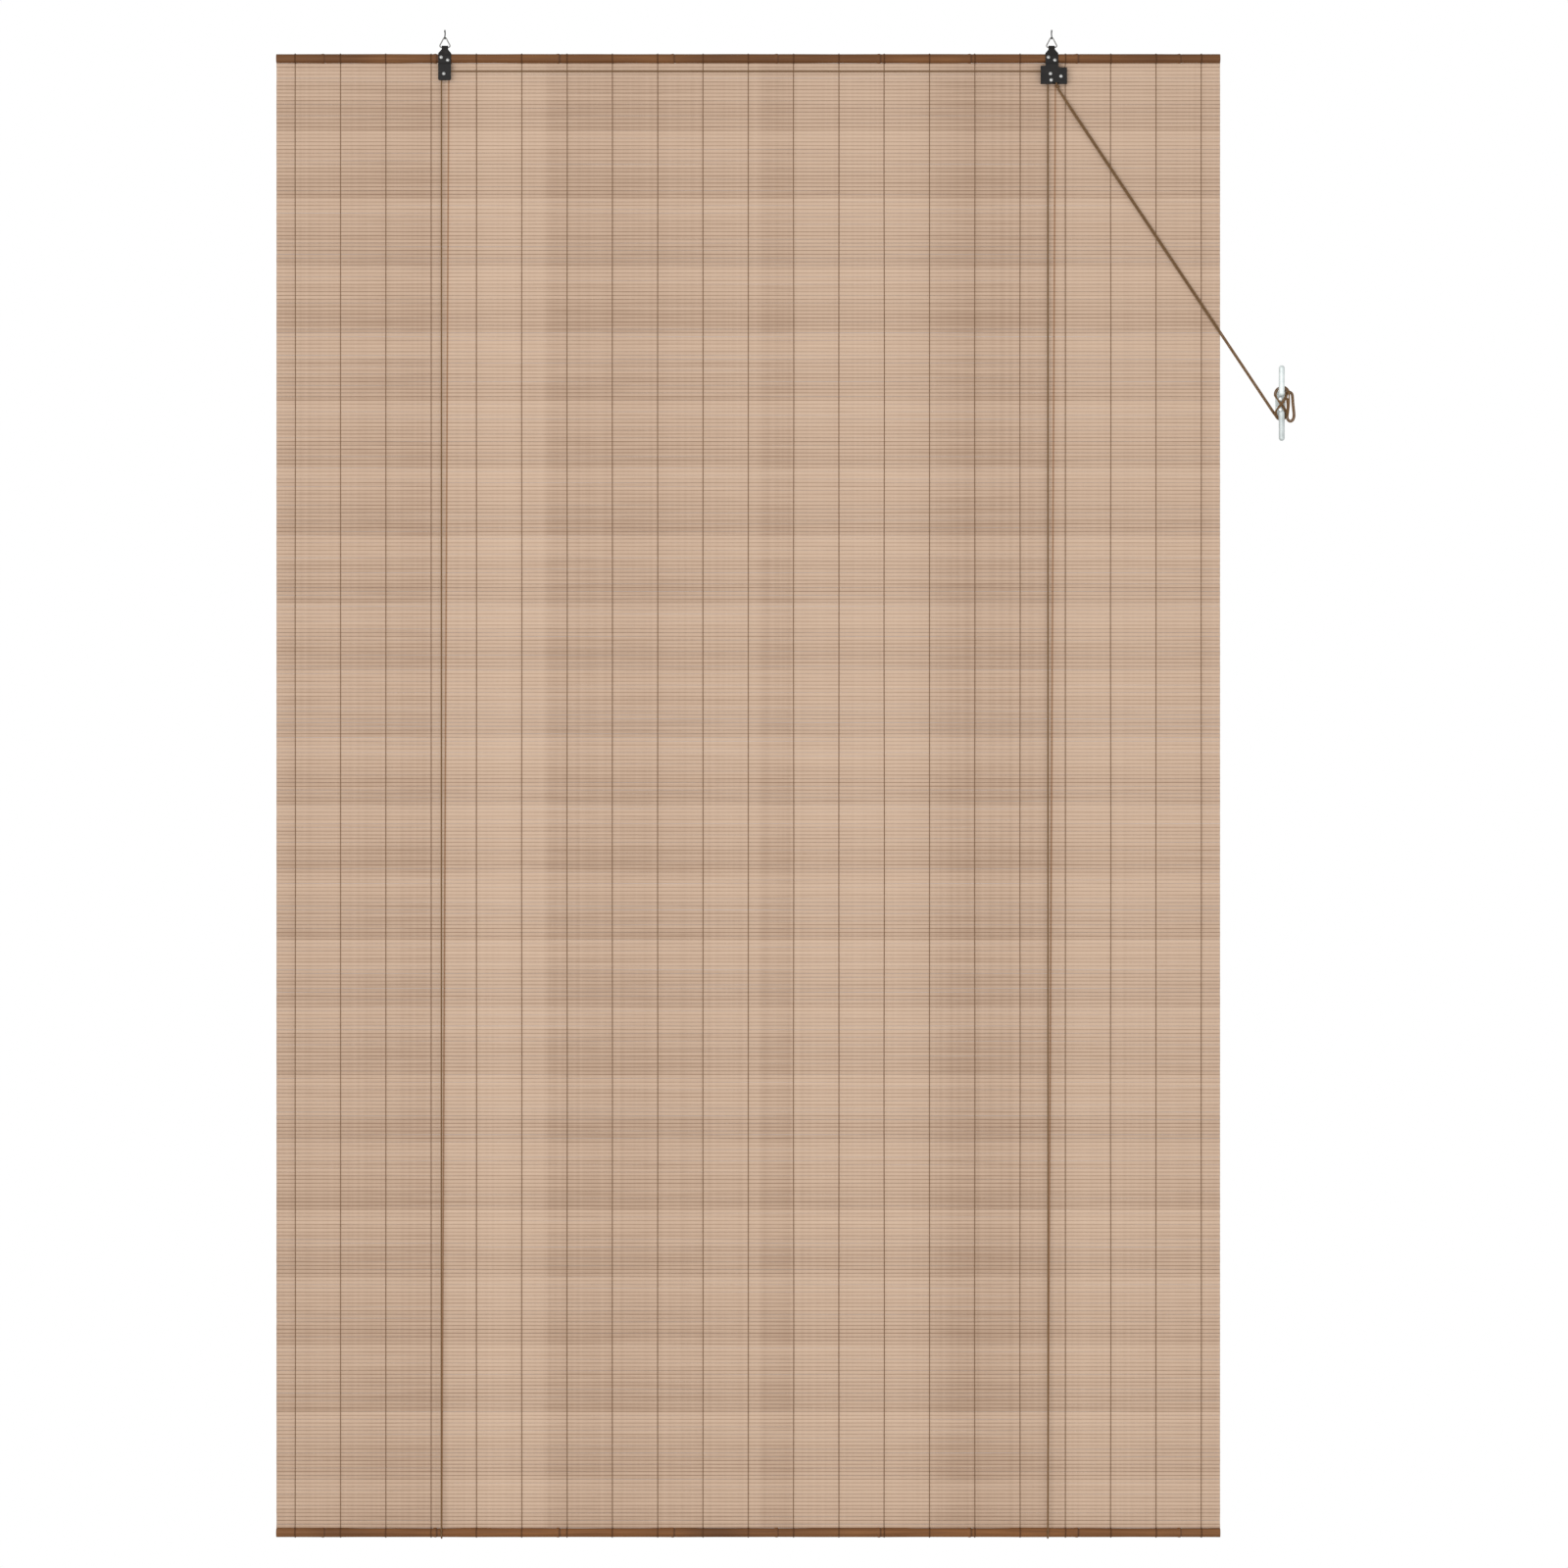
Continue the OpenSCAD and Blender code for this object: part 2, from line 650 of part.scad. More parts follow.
module cross_cord() {
    color("peru") swept_cord(concat(
        on_pulley(left_axle - [hook_x, 0], left_cord_y, 180, 90),
        on_pulley(lock_axle + [hook_x, 0], left_cord_y, 90, leave_angle),
        [knot_end(pair_y - knot_top_half)]));
}

module lock_cord() {
    color("peru") swept_cord(concat(
        on_pulley(lock_axle + [hook_x, 0], right_cord_y, 180, leave_angle),
        [knot_end(pair_y + knot_top_half)]));
}

// Barrel knot that joins both lift cords to the pull cord
module joining_knot() {
    bulge = 0.5;
    color("peru") translate([hook_x + knot_at[0], pair_y, head_z + knot_at[1]])
        rotate([0, 180 - leave_angle, 0]) translate([0, 0, fit]) rotate_extrude()
            polygon([[0, 0], [knot_r - bulge, 0], [knot_r, knot_len / 3],
                     [knot_r, knot_len * 2 / 3], [knot_r - bulge, knot_len], [0, knot_len]]);
}

// Cord end that passes through the rear leaf and is knotted behind it
module tie_knot(x) {
    behind = leaf_out + fit;
    thick = 4;
    color("peru") translate([x + tie_at[0], 0, head_z + tie_at[1]]) {
        pin_y([0, 0], tie_y - cord_r, behind + eps, cord_r);
        translate([0, behind, 0]) rotate([-90, 0, 0]) rotate_extrude()
            polygon([[0, 0], [cord_d - 0.4, 0], [cord_d, thick / 3], [cord_d, thick * 2 / 3], [cord_d - 0.6, thick], [0, thick]]);
    }
}

module left_tie_knot() {
    tie_knot(-hook_x);
}

module right_tie_knot() {
    tie_knot(hook_x);
}

// Tube of n sides swept along points that lie more or less in a plane with the given normal
function unit(v) = v / norm(v);
function heading(p, i, closed) = let (n = len(p))
    closed ? unit(p[(i + 1) % n] - p[(i + n - 1) % n]) : unit(p[min(i + 1, n - 1)] - p[max(i - 1, 0)]);
function ring_of(p, i, r, n, normal, closed) =
    let (t = heading(p, i, closed), u = unit(cross(t, normal)), v = cross(u, t))
    [for (k = [0 : n - 1]) p[i] + r * (cos(360 * k / n) * u + sin(360 * k / n) * v)];

module swept_tube(p, r, n, normal, closed) {
    count = len(p);
    polyhedron(
        points = [for (i = [0 : count - 1]) each ring_of(p, i, r, n, normal, closed)],
        faces = concat(
            closed ? [] : [[for (k = [0 : n - 1]) k], [for (k = [n - 1 : -1 : 0]) (count - 1) * n + k]],
            [for (i = [0 : count - (closed ? 1 : 2)], k = [0 : n - 1])
                let (j = (i + 1) % count, m = (k + 1) % n) [i * n + k, j * n + k, j * n + m, i * n + m]]));
}

module swept_cord(p) {
    swept_tube(p, cord_r, cord_sides, [0, 1, 0], false);
}

// Pull cord from the knot straight to the cleat and around it
module pull_cord() {
    reach = knot_len + 2 * fit + cord_gap;
    start = [hook_x + knot_at[0] + reach * knot_dir[0], pair_y, head_z + knot_at[1] + reach * knot_dir[1]];
    route = concat([start], [for (p = cleat_turns) cleat_at + p]);
    color("peru") swept_cord(route);
}

module cleat() {
    tip_z = cleat_h / 2 - horn_r;
    post_z = post_spacing / 2;
    color("gainsboro") translate(cleat_at) difference() {
        union() {
            translate([0, wall_y, 0]) rotate([90, 0, 0]) linear_extrude(height = cleat_base_t) {
                square([cleat_base_w, cleat_base_h - cleat_base_w], center = true);
                for (side = [-1, 1]) translate([0, side * (cleat_base_h - cleat_base_w) / 2]) circle(d = cleat_base_w);
            }
            for (side = [-1, 1]) {
                pin_y([0, side * post_z], horn_y, wall_y - cleat_base_t + eps, post_d / 2);
                translate([0, horn_y, side * post_z]) sphere(horn_r);
                rod([0, horn_y, side * post_z], [0, horn_tip_y, side * tip_z], horn_r);
                translate([0, horn_tip_y, side * tip_z]) sphere(horn_r);
            }
        }
        for (side = [-1, 1]) {
            pin_y([0, side * hole_spacing / 2], 0, wall_y + 1, hole_d / 2);
            translate([0, wall_y - cleat_base_t - eps, side * hole_spacing / 2]) rotate([-90, 0, 0])
                cylinder(h = countersink_r - hole_d / 2, r1 = countersink_r, r2 = hole_d / 2);
        }
    }
}

top_rail();
bottom_rail();
slat_mat();
warp_threads();
top_thread_turns();
bottom_thread_turns();
left_bracket();
left_bracket_screws();
left_pulley();
left_pulley_axle();
left_ring();
left_hook();
lock_bracket();
lock_bracket_screws();
lock_back_plate();
lock_pulley();
lock_pulley_axle();
lock_anvil();
lock_anvil_rivet();
lock_cam();
lock_cam_axle();
right_ring();
right_hook();
left_lift_cord();
right_lift_cord();
left_cord_loop();
right_cord_loop();
cross_cord();
lock_cord();
joining_knot();
left_tie_knot();
right_tie_knot();
pull_cord();
cleat();
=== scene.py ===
"""Bamboo roll-up blind: finishes, slats, canes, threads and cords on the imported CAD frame."""

import math
import random

import bpy
import numpy as np
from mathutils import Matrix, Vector


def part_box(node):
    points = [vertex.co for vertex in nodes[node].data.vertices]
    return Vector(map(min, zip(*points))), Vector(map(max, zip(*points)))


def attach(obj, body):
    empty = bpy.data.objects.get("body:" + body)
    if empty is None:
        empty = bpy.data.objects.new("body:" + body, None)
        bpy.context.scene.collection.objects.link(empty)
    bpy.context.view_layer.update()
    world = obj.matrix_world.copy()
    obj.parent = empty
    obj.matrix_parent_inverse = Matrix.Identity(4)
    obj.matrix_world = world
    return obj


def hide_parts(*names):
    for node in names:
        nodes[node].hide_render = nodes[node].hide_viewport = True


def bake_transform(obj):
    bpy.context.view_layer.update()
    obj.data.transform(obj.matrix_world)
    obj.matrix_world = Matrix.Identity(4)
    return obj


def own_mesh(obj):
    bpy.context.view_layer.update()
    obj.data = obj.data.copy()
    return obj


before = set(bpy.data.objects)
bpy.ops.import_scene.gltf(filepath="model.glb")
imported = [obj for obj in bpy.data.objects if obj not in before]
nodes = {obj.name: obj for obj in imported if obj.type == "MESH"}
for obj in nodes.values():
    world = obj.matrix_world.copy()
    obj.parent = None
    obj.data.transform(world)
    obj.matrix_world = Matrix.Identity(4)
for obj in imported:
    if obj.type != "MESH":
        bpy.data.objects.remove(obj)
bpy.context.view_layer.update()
rng = random.Random(7)

# Sizes in metres that several pieces share. Places come from the frame; these are what its boxes don't give.
MM = 0.001
CANE_R = 6.8 * MM
CORD_R = 1.1 * MM
HEAD_Z = -41.0 * MM
FOOT_Z = -2227.4 * MM
HOOK_X = 450.0 * MM
LEFT_CORD_X = -454.8 * MM
RIGHT_CORD_X = 444.2 * MM
TIE_OFF = 5.7 * MM
TIE_Z = -50.6 * MM
LEFT_TIE_X = TIE_OFF - HOOK_X
RIGHT_TIE_X = TIE_OFF + HOOK_X
CLEAT_AT = Vector((790, 0, -553)) * MM
SLAT_COUNT = 391
WARP_COUNT = 21
WARP_STEP = 67.2 * MM
# How far the mat reaches into both canes
TUCK = 0.15 * MM

mat_lo, mat_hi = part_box("slat_mat")
mat_lo.z, mat_hi.z = FOOT_Z + CANE_R - TUCK, HEAD_Z - CANE_R + TUCK
mat_h = mat_hi.z - mat_lo.z
blind_w = mat_hi.x - mat_lo.x
pitch = mat_h / SLAT_COUNT
warp_x = [(i - (WARP_COUNT - 1) / 2) * WARP_STEP for i in range(WARP_COUNT)]


# Helpers for meshes

def mesh_piece(name, verts, faces, material):
    """Smooth mesh object with one material."""
    mesh = bpy.data.meshes.new(name)
    mesh.from_pydata([tuple(v) for v in verts], [], faces)
    mesh.polygons.foreach_set("use_smooth", [True] * len(mesh.polygons))
    mesh.materials.append(material)
    obj = bpy.data.objects.new(name, mesh)
    bpy.context.scene.collection.objects.link(obj)
    return obj


class Parts:
    """Collects several tubes or bars into one mesh, with a UV pair and a tone for each vertex."""

    def __init__(self):
        self.verts, self.faces, self.uv, self.tone = [], [], [], []

    def rings(self, rings, uv=None, tone=None):
        """Bar through rings of points, closed at both ends."""
        start, rows, cols = len(self.verts), len(rings), len(rings[0])
        for ring in rings:
            self.verts.extend(ring)
        for i in range(rows - 1):
            a, b = start + i * cols, start + (i + 1) * cols
            for k in range(cols):
                m = (k + 1) % cols
                self.faces.append((a + k, a + m, b + m, b + k))
        last = start + (rows - 1) * cols
        self.faces.append(tuple(range(start + cols - 1, start - 1, -1)))
        self.faces.append(tuple(range(last, last + cols)))
        self.uv.extend(uv if uv is not None else [(0, 0)] * (rows * cols))
        self.tone.extend(tone if tone is not None else [0.5] * (rows * cols))

    def tube(self, points, radius, sides):
        """Round tube along points, with u around it and v along it in diameters."""
        p = np.asarray(points, float)
        along = np.gradient(p, axis=0)
        along /= np.linalg.norm(along, axis=1)[:, None]
        side = np.cross(along[0], (0.0, 1.0, 0.0) if abs(along[0][1]) < 0.9 else (1.0, 0.0, 0.0))
        rings, uv, run = [], [], 0.0
        for i in range(len(p)):
            side = side - along[i] * side.dot(along[i])
            side /= np.linalg.norm(side)
            other = np.cross(along[i], side)
            if i:
                run += np.linalg.norm(p[i] - p[i - 1])
            ring = []
            for k in range(sides):
                a = 2 * math.pi * k / sides
                ring.append(p[i] + radius * (math.cos(a) * side + math.sin(a) * other))
                uv.append((k / sides, run / (2 * radius)))
            rings.append(ring)
        self.rings(rings, uv=uv)

    def piece(self, name, material):
        obj = mesh_piece(name, self.verts, self.faces, material)
        corner_vertex = np.empty(len(obj.data.loops), np.int32)
        obj.data.loops.foreach_get("vertex_index", corner_vertex)
        layer = obj.data.uv_layers.new(name="UVMap")
        layer.data.foreach_set("uv", np.asarray(self.uv, np.float32)[corner_vertex].ravel())
        tone = obj.data.attributes.new("tone", "FLOAT", "POINT")
        tone.data.foreach_set("value", np.asarray(self.tone, np.float32))
        obj.data.update()
        return obj


def straight(a, b, steps):
    """Evenly spaced points from a to b."""
    return [Vector(a).lerp(Vector(b), k / steps) for k in range(steps + 1)]


def arc(x, y, z, r, first, last, steps):
    """Points of an arc in the XZ plane around (x, z), in degrees."""
    angles = [math.radians(first + (last - first) * k / steps) for k in range(steps + 1)]
    return [(x + r * math.cos(a), y, z + r * math.sin(a)) for a in angles]


def smooth_route(points, steps):
    """Catmull-Rom curve through points, with steps spans between two of them."""
    p = [points[0]] + points + [points[-1]]
    route = []
    for a, b, c, d in zip(p, p[1:], p[2:], p[3:]):
        for k in range(steps):
            t = k / steps
            route.append(0.5 * (2 * b + (c - a) * t + (2 * a - 5 * b + 4 * c - d) * t * t
                                + (3 * b - a - 3 * c + d) * t ** 3))
    route.append(points[-1])
    return route


def bell(x, middle, half_len):
    """Smooth bump with a height of 1 at its middle."""
    return math.exp(-(((x - middle) / half_len) ** 2))


# Materials

def srgb(r, g, b):
    """Linear colour of an 8-bit sRGB one."""
    shares = (r / 255, g / 255, b / 255)
    return tuple(((c + 0.055) / 1.055) ** 2.4 if c > 0.04045 else c / 12.92 for c in shares) + (1.0,)


class Shader:
    """Principled material with a few helpers for its node tree."""

    def __init__(self, name, **settings):
        self.material = bpy.data.materials.new(name)
        self.material.use_nodes = True
        self.tree = self.material.node_tree
        self.bsdf = self.tree.nodes["Principled BSDF"]
        for key, value in settings.items():
            self.bsdf.inputs[key.replace("_", " ")].default_value = value

    def node(self, kind, **settings):
        made = self.tree.nodes.new(kind)
        for key, value in settings.items():
            setattr(made, key, value)
        return made

    def link(self, a, b):
        self.tree.links.new(a, b)

    def noise(self, scale, detail):
        """Noise in object coordinates that are stretched by scale."""
        mapping = self.node("ShaderNodeMapping")
        mapping.inputs["Scale"].default_value = scale
        self.link(self.node("ShaderNodeTexCoord").outputs["Object"], mapping.inputs["Vector"])
        made = self.node("ShaderNodeTexNoise")
        for key, value in {"Scale": 1.0, "Detail": detail, "Roughness": 0.55}.items():
            made.inputs[key].default_value = value
        self.link(mapping.outputs["Vector"], made.inputs["Vector"])
        return made.outputs["Fac"]

    def attribute(self, name):
        return self.node("ShaderNodeAttribute", attribute_name=name).outputs["Fac"]

    def place(self, kind="Object"):
        """X, Y and Z of a surface point."""
        made = self.node("ShaderNodeSeparateXYZ")
        self.link(self.node("ShaderNodeTexCoord").outputs[kind], made.inputs["Vector"])
        return made.outputs

    def fade(self, value, first, last, at_first, at_last):
        """Number that goes smoothly from at_first to at_last as value goes from first to last."""
        made = self.node("ShaderNodeMapRange", interpolation_type="SMOOTHSTEP")
        settings = {"From Min": first, "From Max": last, "To Min": at_first, "To Max": at_last}
        for key, number in settings.items():
            made.inputs[key].default_value = number
        self.link(value, made.inputs["Value"])
        return made.outputs["Result"]

    def math(self, operation, a, b=None, c=None):
        made = self.node("ShaderNodeMath", operation=operation)
        for socket, value in zip(made.inputs, (a, b, c)):
            if isinstance(value, (int, float)):
                socket.default_value = value
            elif value is not None:
                self.link(value, socket)
        return made.outputs["Value"]

    def ramp(self, value, *stops):
        """Colour ramp with (place, colour) stops."""
        made = self.node("ShaderNodeValToRGB")
        elements = made.color_ramp.elements
        for element, (place, colour) in zip(elements, (stops[0], stops[-1])):
            element.position, element.color = place, colour
        for place, colour in stops[1:-1]:
            elements.new(place).color = colour
        self.link(value, made.inputs["Fac"])
        return made.outputs["Color"]

    def mix(self, fac, a, b, blend="MIX"):
        made = self.node("ShaderNodeMix", data_type="RGBA", blend_type=blend)
        for socket, value in ((made.inputs[0], fac), (made.inputs[6], a), (made.inputs[7], b)):
            if isinstance(value, (int, float, tuple)):
                socket.default_value = value
            else:
                self.link(value, socket)
        return made.outputs[2]

    def colour(self, socket):
        self.link(socket, self.bsdf.inputs["Base Color"])

    def roughness(self, value, low, high):
        made = self.node("ShaderNodeMapRange")
        made.inputs["To Min"].default_value = low
        made.inputs["To Max"].default_value = high
        self.link(value, made.inputs["Value"])
        self.link(made.outputs["Result"], self.bsdf.inputs["Roughness"])

    def bump(self, height, distance, strength):
        made = self.node("ShaderNodeBump")
        made.inputs["Distance"].default_value = distance
        made.inputs["Strength"].default_value = strength
        self.link(height, made.inputs["Height"])
        self.link(made.outputs["Normal"], self.bsdf.inputs["Normal"])


# Lighter and darker bands across the mat: place along X in metres, change of tone
BANDS = [(-0.7, -0.05), (-0.62, -0.02), (-0.59, -0.05), (-0.48, -0.06), (-0.44, 0.06), (-0.36, 0.13),
         (-0.305, 0.08), (-0.295, -0.06), (-0.19, -0.06), (-0.11, -0.01), (0.015, 0.06), (0.022, -0.07),
         (0.062, -0.06), (0.068, 0.06), (0.21, 0.1), (0.26, 0.06), (0.285, -0.06), (0.33, -0.12),
         (0.4, -0.05), (0.45, -0.01), (0.49, 0.1), (0.7, 0.05)]
# Foot and top of each rear run along X
REAR_RUNS = [(LEFT_CORD_X, LEFT_TIE_X), (RIGHT_CORD_X, RIGHT_TIE_X)]
# Where the painted shadow of a rear run starts to fade, where it ends, and how strong it is
SHADE_FULL = 0.3 * CORD_R
SHADE_END = 1.9 * CORD_R
SHADE = 0.85


def slat_material():
    """Split bamboo: long fine fibres, with the tone of each slat from the mesh, which also holds painted
    shade along the slat edges.

    The shadows of the rear runs of the lift cords, as they would show faintly through the thin slats, are
    painted on as lines that slant from the ties at the brackets to the loops at the foot.
    """
    s = Shader("slat_bamboo", Specular_IOR_Level=0.2)
    fibre = s.noise((14, 900, 1500), 6)
    patch = s.noise((5, 60, 170), 2)
    column = s.noise((150, 0.1, 0.4), 3)
    place = s.place()
    share = s.math("MULTIPLY_ADD", place["X"], 1 / blind_w, 0.5)
    band = s.ramp(share, *[(x / blind_w + 0.5, (0.5 + change,) * 3 + (1,)) for x, change in BANDS])
    tone = s.attribute("tone")
    for value, reach in ((patch, 0.3), (fibre, 0.5), (column, 0.3), (band, 1.0)):
        tone = s.math("ADD", tone, s.math("MULTIPLY_ADD", value, reach, -reach / 2))
    wood_and_run_shadow = s.ramp(tone, (0.0, srgb(143, 114, 92)), (0.5, srgb(186, 159, 137)), (1.0, srgb(206, 180, 157)))
    # Painted shadow of each rear run, where it would show through the slats
    for foot_x, tie_x in REAR_RUNS:
        slope = (tie_x - foot_x) / (TIE_Z - FOOT_Z)
        line = s.math("MULTIPLY_ADD", place["Z"], slope, foot_x - slope * FOOT_Z)
        off = s.math("ABSOLUTE", s.math("SUBTRACT", place["X"], line))
        wood_and_run_shadow = s.mix(s.fade(off, SHADE_FULL, SHADE_END, SHADE, 0.0), wood_and_run_shadow, srgb(142, 102, 70))
    s.colour(wood_and_run_shadow)
    s.roughness(fibre, 0.55, 0.8)
    s.bump(fibre, 0.12 * MM, 0.6)
    return s.material


def cane_material():
    """Brown bamboo: streaks along its length, darker where the mesh's tone is high: at stains, beside growth
    rings, over the whole of a darker cane, and with painted shade in the cut ends and hollows.
    """
    s = Shader("cane_bamboo", Specular_IOR_Level=0.2)
    streak = s.noise((9, 300, 300), 6)
    blotch = s.noise((7, 12, 12), 2)
    tone = s.math("ADD", s.math("MULTIPLY", streak, 0.55), s.math("MULTIPLY", blotch, 0.5))
    brown = s.ramp(tone, (0.25, srgb(86, 52, 27)), (0.52, srgb(121, 79, 44)), (0.8, srgb(153, 106, 65)))
    s.colour(s.mix(s.math("MULTIPLY", s.attribute("tone"), 0.7), brown, srgb(58, 35, 20)))
    s.roughness(streak, 0.42, 0.62)
    s.bump(streak, 0.25 * MM, 0.5)
    return s.material


def twist_material(name, dark, middle, light, turns):
    """Twisted yarn: three strands that wind round the tube, turns times in a diameter, with loose fibres;
    the colour is painted darker between the strands, as shade in the grooves.
    """
    s = Shader(name, Specular_IOR_Level=0.15)
    place = s.place("UV")
    phase = s.math("ADD", s.math("MULTIPLY", place["X"], 3.0), s.math("MULTIPLY", place["Y"], turns))
    strand = s.math("MULTIPLY_ADD", s.math("SINE", s.math("MULTIPLY", phase, 2 * math.pi)), 0.5, 0.5)
    fibre = s.noise((900, 900, 900), 3)
    # Painted shade between the strands, mixed with the yarn's own fibre tone
    tone = s.math("ADD", s.math("MULTIPLY", strand, 0.45), s.math("MULTIPLY", fibre, 0.55))
    s.colour(s.ramp(tone, (0.1, dark), (0.5, middle), (0.95, light)))
    s.roughness(fibre, 0.8, 0.95)
    s.bump(strand, 0.3 * MM, 0.5)
    return s.material


def lacquer_material():
    """Black lacquer on sheet steel, slightly rough and worn."""
    s = Shader("black_lacquer", Specular_IOR_Level=0.16)
    speck = s.noise((700, 700, 700), 3)
    wear = s.noise((90, 90, 90), 4)
    s.colour(s.ramp(wear, (0.3, srgb(24, 23, 22)), (0.6, srgb(32, 30, 29)), (0.8, srgb(44, 42, 40))))
    s.roughness(wear, 0.45, 0.65)
    s.bump(speck, 0.12 * MM, 0.5)
    return s.material


# Painted shade: the cleat's colour darkens below this height, over this length and down to this share
CLEAT_SHADE_Z = CLEAT_AT.z - 8 * MM
CLEAT_SHADE_LEN = 12 * MM
CLEAT_SHADE_SHARE = 0.75


def metal_material(name, dark, light, rough, metallic=1.0, shade_below=None):
    """Plated or cast metal with a fine uneven surface, with painted shade that darkens it below a height if
    one is given.
    """
    s = Shader(name, Metallic=metallic)
    fine = s.noise((600, 600, 600), 4)
    cloud = s.noise((60, 60, 60), 3)
    tint_and_shade = s.ramp(cloud, (0.3, dark), (0.7, light))
    if shade_below is not None:
        # Painted shade, darker towards the bottom of the cleat
        painted_lower_shade = s.fade(s.place()["Z"], shade_below - CLEAT_SHADE_LEN, shade_below, CLEAT_SHADE_SHARE, 1.0)
        tint_and_shade = s.mix(1.0, tint_and_shade, painted_lower_shade, "MULTIPLY")
    s.colour(tint_and_shade)
    s.roughness(cloud, rough - 0.06, rough + 0.08)
    s.bump(fine, 0.08 * MM, 0.35)
    return s.material


def plastic_material():
    """Dark moulded plastic of the pulleys."""
    s = Shader("pulley_plastic", Specular_IOR_Level=0.4)
    cloud = s.noise((400, 400, 400), 3)
    s.colour(s.ramp(cloud, (0.3, srgb(66, 64, 62)), (0.7, srgb(84, 82, 80))))
    s.roughness(cloud, 0.4, 0.6)
    s.bump(cloud, 0.06 * MM, 0.4)
    return s.material


slats_mat = slat_material()
cane_mat = cane_material()
thread_mat = twist_material("warp_cotton", srgb(104, 78, 56), srgb(132, 104, 79), srgb(160, 131, 104), 0.3)
turns_mat = twist_material("turn_cotton", srgb(66, 40, 22), srgb(90, 58, 34), srgb(116, 80, 52), 0.3)
cord_mat = twist_material("cord_cotton", srgb(92, 69, 46), srgb(113, 86, 58), srgb(138, 108, 78), 0.35)
lacquer_mat = lacquer_material()
zinc_mat = metal_material("zinc_steel", srgb(138, 138, 136), srgb(186, 186, 184), 0.36)
ring_mat = metal_material("ring_steel", srgb(96, 95, 92), srgb(136, 135, 132), 0.36)
hook_mat = metal_material("hook_steel", srgb(28, 28, 27), srgb(62, 61, 59), 0.4)
cast_mat = metal_material("cast_cam", srgb(110, 108, 104), srgb(150, 148, 144), 0.5)
cleat_mat = metal_material("bright_casting", srgb(190, 198, 197), srgb(222, 229, 228), 0.4, 0.3, CLEAT_SHADE_Z)
plastic_mat = plastic_material()

# Finishes of the CAD nodes that stay

FINISHES = {
    lacquer_mat: ["left_bracket", "lock_bracket", "lock_back_plate"],
    zinc_mat: ["left_bracket_screws", "lock_bracket_screws", "left_pulley_axle", "lock_pulley_axle",
               "lock_anvil", "lock_anvil_rivet", "lock_cam_axle"],
    ring_mat: ["left_ring", "right_ring"],
    hook_mat: ["left_hook", "right_hook"],
    plastic_mat: ["left_pulley", "lock_pulley"],
    cast_mat: ["lock_cam"],
    cleat_mat: ["cleat"],
    cord_mat: ["left_tie_knot", "right_tie_knot"],
}
SHEET_EDGE_R = 0.25 * MM

for material, names in FINISHES.items():
    for name in names:
        nodes[name].data.materials.clear()
        nodes[name].data.materials.append(material)

for name in FINISHES[lacquer_mat]:
    bevel = nodes[name].modifiers.new("edge", "BEVEL")
    bevel.width, bevel.segments, bevel.limit_method = SHEET_EDGE_R, 2, "ANGLE"

# Slats

SLAT_SPANS = 24
SLAT_CORNER = 0.5 * MM
# First and last span, which keep the shading of the ends off the rest
END_SPAN = 1.0 * MM
SLAT_WAVE = 0.06 * MM
# The tone of the mat falls from slat to slat and starts again after this height
TONE_REPEAT = 0.1
# Shares of that height where the fall starts and over which it runs
FALL_FROM = 0.15
FALL_LEN = 0.7
# Tone before the fall and how far it falls, then the painted shade of the joints at the slat edges and how
# much the fall adds to it
TOP_TONE = 0.58
TONE_FALL = 0.16
EDGE_SHADE = 0.3
EDGE_SHADE_FALL = 0.5
# Which points of slat_section lie on the edges that take the painted shade of the joints
SHADED_EDGES = [0, 0, 1, 1, 0, 0, 1, 1]
# Ranges from slat to slat, with lengths in millimetres: tone, share of the mat's thickness, gap at an
# edge, wave in radians to a metre, start of the wave, place in depth, and how far the ends stop short
TONES = (-0.05, 0.05)
THICKNESSES = (0.86, 0.98)
EDGE_GAPS = (-0.04, 0.1)
WAVES = (6, 15)
STARTS = (0, 6.3)
SET_BACKS = (-0.08, 0.08)
ENDS = (0, 0.2)


def slat_section(half_t, half_h):
    """Flat section with cut corners, as (y, z) points."""
    face, edge = half_h - SLAT_CORNER, half_t - SLAT_CORNER
    return [(-half_t, -face), (-half_t, face), (-edge, half_h), (edge, half_h),
            (half_t, face), (half_t, -face), (edge, -half_h), (-edge, -half_h)]


